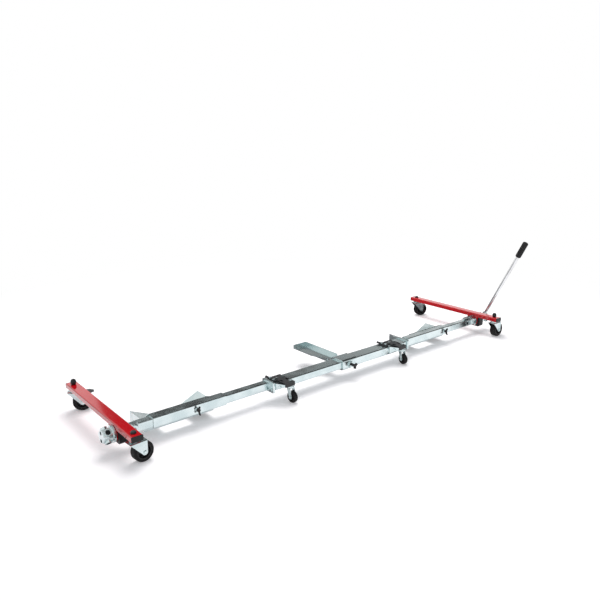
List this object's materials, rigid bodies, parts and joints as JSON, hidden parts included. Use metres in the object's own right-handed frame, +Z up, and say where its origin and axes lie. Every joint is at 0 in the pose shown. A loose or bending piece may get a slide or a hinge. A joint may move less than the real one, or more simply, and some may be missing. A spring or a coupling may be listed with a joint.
{
  "type": "motorcycle mover dolly",
  "caption": "Low castor dolly with red end beams, a telescoping rail that turns in their bearings, tyre cradles, a prop stand plate and a lever.",
  "frame": {"origin": "on the floor under the middle of the dolly's box", "axes": "+X along the rail towards the lever end, +Y towards the cradles' side, +Z up"},
  "size_m": [2.612, 0.7906, 0.6115],
  "materials": {
    "red_paint": "gloss",
    "zinc_plate": "bright zinc",
    "black_paint": "satin",
    "black_plastic": "matte",
    "tyre_rubber": "matte",
    "wheel_core": "satin",
    "chrome_plate": "polished",
    "grip_rubber": "matte"
  },
  "bodies": {
    "rear_beam": {"rear_beam": "red_paint", "rear_beam_end_caps": "black_plastic", "rear_bearing_block": "black_plastic", "rear_castor_stems": "zinc_plate", "rear_stem_nut": "black_paint"},
    "front_beam": {"front_beam": "red_paint", "front_beam_end_caps": "black_plastic", "front_bearing_block": "black_plastic", "front_castor_stems": "zinc_plate", "front_stem_nut": "black_paint"},
    "rear_rail": {"rear_rail": "zinc_plate", "rear_shaft": "zinc_plate", "rear_hub": "zinc_plate", "inner_rail": "zinc_plate", "rear_outrigger": "black_paint", "rear_gusset": "zinc_plate", "rear_bracket_fasteners": "zinc_plate"},
    "front_rail": {"front_rail": "zinc_plate", "front_shaft": "zinc_plate", "front_hub": "zinc_plate", "outer_rail": "zinc_plate", "front_outrigger": "black_paint", "front_gusset": "zinc_plate", "front_bracket_fasteners": "zinc_plate", "rail_collar": "zinc_plate", "stand_arm": "zinc_plate"},
    "rear_cradle": {"rear_cradle": "zinc_plate"},
    "front_cradle": {"front_cradle": "zinc_plate"},
    "rear_wing_screw": {"rear_wing_screw": "black_plastic"},
    "front_wing_screw": {"front_wing_screw": "black_plastic"},
    "star_knob": {"star_knob": "black_plastic"},
    "stand_plate": {"stand_plate": "zinc_plate"},
    "rear_stem_knob": {"rear_stem_knob": "black_plastic"},
    "front_stem_knob": {"front_stem_knob": "black_plastic"},
    "brake_pedal": {"brake_pedal": "black_paint"},
    "lever": {"lever_tube": "chrome_plate", "lever_grip": "grip_rubber"},
    "near_rear_swivel": {"near_rear_fork": "zinc_plate", "near_rear_axle": "zinc_plate"},
    "near_rear_roller": {"near_rear_wheel_core": "wheel_core", "near_rear_tyre": "tyre_rubber"},
    "far_rear_swivel": {"far_rear_fork": "zinc_plate", "far_rear_axle": "zinc_plate"},
    "far_rear_roller": {"far_rear_wheel_core": "wheel_core", "far_rear_tyre": "tyre_rubber"},
    "near_front_swivel": {"near_front_fork": "zinc_plate", "near_front_axle": "zinc_plate"},
    "near_front_roller": {"near_front_wheel_core": "wheel_core", "near_front_tyre": "tyre_rubber"},
    "far_front_swivel": {"far_front_fork": "zinc_plate", "far_front_axle": "zinc_plate"},
    "far_front_roller": {"far_front_wheel_core": "wheel_core", "far_front_tyre": "tyre_rubber"},
    "middle_rear_swivel": {"middle_rear_fork": "zinc_plate", "middle_rear_axle": "zinc_plate"},
    "middle_rear_roller": {"middle_rear_wheel": "tyre_rubber"},
    "middle_front_swivel": {"middle_front_fork": "zinc_plate", "middle_front_axle": "zinc_plate"},
    "middle_front_roller": {"middle_front_wheel": "tyre_rubber"}
  },
  "joints": [
    {"name": "frame_lift", "type": "hinge", "parent": "rear_beam", "child": "rear_rail", "pos_m": [-0.014, -0.1277, 0.082], "axis": [1, 0, 0], "range_deg": [-10, 0]},
    {"name": "rail_extend", "type": "slide", "parent": "rear_rail", "child": "front_rail", "axis": [1, 0, 0], "range_m": [-0.15, 0.1]},
    {"name": "front_beam_level", "type": "hinge", "parent": "front_rail", "child": "front_beam", "pos_m": [-0.014, -0.1277, 0.082], "axis": [1, 0, 0], "range_deg": [0, 10]},
    {"name": "rear_cradle_slide", "type": "slide", "parent": "rear_rail", "child": "rear_cradle", "axis": [1, 0, 0], "range_m": [-0.045, 0.15]},
    {"name": "front_cradle_slide", "type": "slide", "parent": "front_rail", "child": "front_cradle", "axis": [1, 0, 0], "range_m": [-0.02, 0.15]},
    {"name": "stand_slide", "type": "slide", "parent": "front_rail", "child": "stand_plate", "axis": [0, 1, 0], "range_m": [0, 0.06]},
    {"name": "rear_wing_turn", "type": "hinge", "parent": "rear_cradle", "child": "rear_wing_screw", "pos_m": [-0.88102, -0.1512, 0.082], "axis": [0, 1, 0], "range_deg": [-180, 180]},
    {"name": "front_wing_turn", "type": "hinge", "parent": "front_cradle", "child": "front_wing_screw", "pos_m": [0.84889, -0.1512, 0.082], "axis": [0, 1, 0], "range_deg": [-180, 180]},
    {"name": "star_knob_turn", "type": "hinge", "parent": "front_rail", "child": "star_knob", "pos_m": [0.023, -0.1757, 0.079], "axis": [0, 1, 0], "range_deg": [-180, 180]},
    {"name": "lever_pull", "type": "slide", "parent": "front_rail", "child": "lever", "axis": [0, -0.4368, 0.8996], "range_m": [0, 0.02]},
    {"name": "rear_knob_turn", "type": "hinge", "parent": "rear_beam", "child": "rear_stem_knob", "pos_m": [-1.229, 0.3613, 0.129], "axis": [0, 0, 1], "range_deg": [0, 360]},
    {"name": "front_knob_turn", "type": "hinge", "parent": "front_beam", "child": "front_stem_knob", "pos_m": [1.201, -0.2637, 0.129], "axis": [0, 0, 1], "range_deg": [0, 360]},
    {"name": "near_rear_swivel_turn", "type": "hinge", "parent": "rear_beam", "child": "near_rear_swivel", "pos_m": [-1.229, -0.2637, 0], "axis": [0, 0, 1], "continuous": true},
    {"name": "near_rear_roll", "type": "hinge", "parent": "near_rear_swivel", "child": "near_rear_roller", "pos_m": [-1.19712, -0.26091, 0.0435], "axis": [-0.0872, 0.9962, 0], "continuous": true},
    {"name": "far_rear_swivel_turn", "type": "hinge", "parent": "rear_beam", "child": "far_rear_swivel", "pos_m": [-1.229, 0.3613, 0], "axis": [0, 0, 1], "continuous": true},
    {"name": "far_rear_roll", "type": "hinge", "parent": "far_rear_swivel", "child": "far_rear_roller", "pos_m": [-1.19893, 0.35035, 0.0435], "axis": [0.342, 0.9397, 0], "continuous": true},
    {"name": "brake_press", "type": "hinge", "parent": "far_rear_swivel", "child": "brake_pedal", "pos_m": [-1.19893, 0.35035, 0.0435], "axis": [0.342, 0.9397, 0], "range_deg": [0, 8]},
    {"name": "near_front_swivel_turn", "type": "hinge", "parent": "front_beam", "child": "near_front_swivel", "pos_m": [1.201, -0.2637, 0], "axis": [0, 0, 1], "continuous": true},
    {"name": "near_front_roll", "type": "hinge", "parent": "near_front_swivel", "child": "near_front_roller", "pos_m": [1.233, -0.2637, 0.0435], "axis": [0, 1, 0], "continuous": true},
    {"name": "far_front_swivel_turn", "type": "hinge", "parent": "front_beam", "child": "far_front_swivel", "pos_m": [1.201, 0.3613, 0], "axis": [0, 0, 1], "continuous": true},
    {"name": "far_front_roll", "type": "hinge", "parent": "far_front_swivel", "child": "far_front_roller", "pos_m": [1.23107, 0.35035, 0.0435], "axis": [0.342, 0.9397, 0], "continuous": true},
    {"name": "middle_rear_swivel_turn", "type": "hinge", "parent": "rear_rail", "child": "middle_rear_swivel", "pos_m": [-0.40202, -0.2037, 0], "axis": [0, 0, 1], "continuous": true},
    {"name": "middle_rear_roll", "type": "hinge", "parent": "middle_rear_swivel", "child": "middle_rear_roller", "pos_m": [-0.4008, -0.21765, 0.029], "axis": [0.9962, 0.0872, 0], "continuous": true},
    {"name": "middle_front_swivel_turn", "type": "hinge", "parent": "front_rail", "child": "middle_front_swivel", "pos_m": [0.39789, -0.2037, 0], "axis": [0, 0, 1], "continuous": true},
    {"name": "middle_front_roll", "type": "hinge", "parent": "middle_front_swivel", "child": "middle_front_roller", "pos_m": [0.39594, -0.21757, 0.029], "axis": [0.9903, -0.1392, 0], "continuous": true}
  ],
  "couplings": [
    {"joint": "front_beam_level", "follows": "frame_lift", "ratio": -1}
  ]
}
